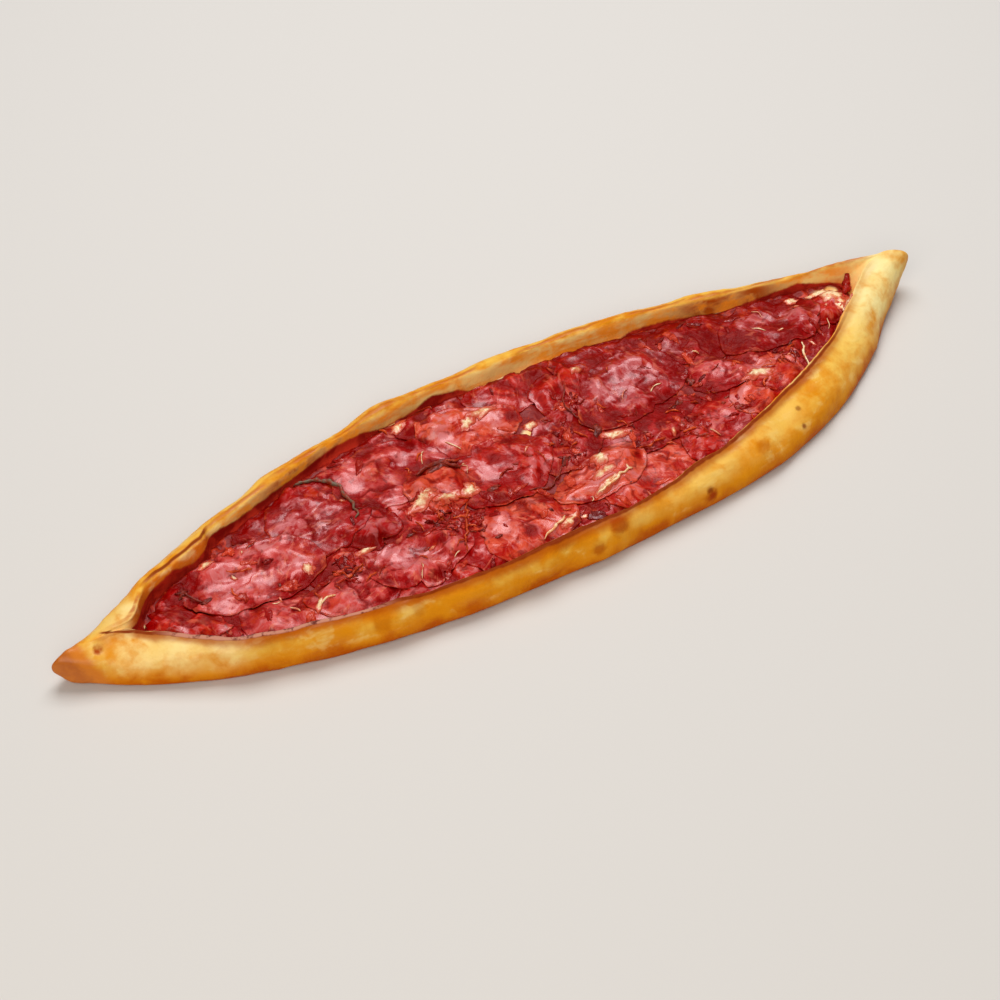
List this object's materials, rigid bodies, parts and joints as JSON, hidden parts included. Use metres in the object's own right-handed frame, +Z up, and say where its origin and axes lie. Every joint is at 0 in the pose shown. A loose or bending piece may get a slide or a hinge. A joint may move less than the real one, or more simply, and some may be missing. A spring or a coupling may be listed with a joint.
{
  "type": "turkish pide",
  "caption": "Long boat-shaped flatbread: folded golden rim, pointed pinched ends, filled with melted cheese under overlapping thin slices of cured beef.",
  "frame": {"origin": "on the base plane, under the middle of the footprint", "axes": "+Z up, +X along the boat towards its raised tip, +Y towards the far rim, the side with the free-cornered flap"},
  "size_m": [0.45, 0.129, 0.0219],
  "materials": {
    "crust": "baked buttered dough, satin, browned at one tip and along the rim's edge",
    "cheese": "melted cheese, oily satin",
    "slice_deep": "thin cured beef, oily gloss, deep crimson",
    "slice_red": "thin cured beef, oily gloss, red",
    "slice_salmon": "thin cured beef, oily gloss, salmon red",
    "slice_pink": "thin cured beef, oily gloss, pink"
  },
  "bodies": {
    "root": {"crust": "crust", "cheese_bed": "cheese", "slice_01": "slice_deep", "slice_02": "slice_deep", "slice_03": "slice_deep", "slice_04": "slice_deep", "slice_05": "slice_deep", "slice_06": "slice_red", "slice_07": "slice_deep", "slice_08": "slice_deep", "slice_09": "slice_deep", "slice_10": "slice_red", "slice_11": "slice_red", "slice_12": "slice_red", "slice_13": "slice_red", "slice_14": "slice_red", "slice_15": "slice_deep", "slice_16": "slice_salmon", "slice_17": "slice_deep", "slice_18": "slice_red", "slice_19": "slice_deep", "slice_20": "slice_red", "slice_21": "slice_red", "slice_22": "slice_pink", "slice_23": "slice_pink", "slice_24": "slice_pink", "slice_25": "slice_salmon", "slice_26": "slice_salmon", "slice_27": "slice_salmon", "slice_28": "slice_salmon", "slice_29": "slice_red", "slice_30": "slice_pink", "slice_31": "slice_pink", "slice_32": "slice_deep", "slice_33": "slice_deep", "slice_34": "slice_red", "slice_35": "slice_salmon", "slice_36": "slice_deep", "slice_37": "slice_pink", "slice_38": "slice_deep", "slice_39": "slice_deep"}
  },
  "joints": []
}
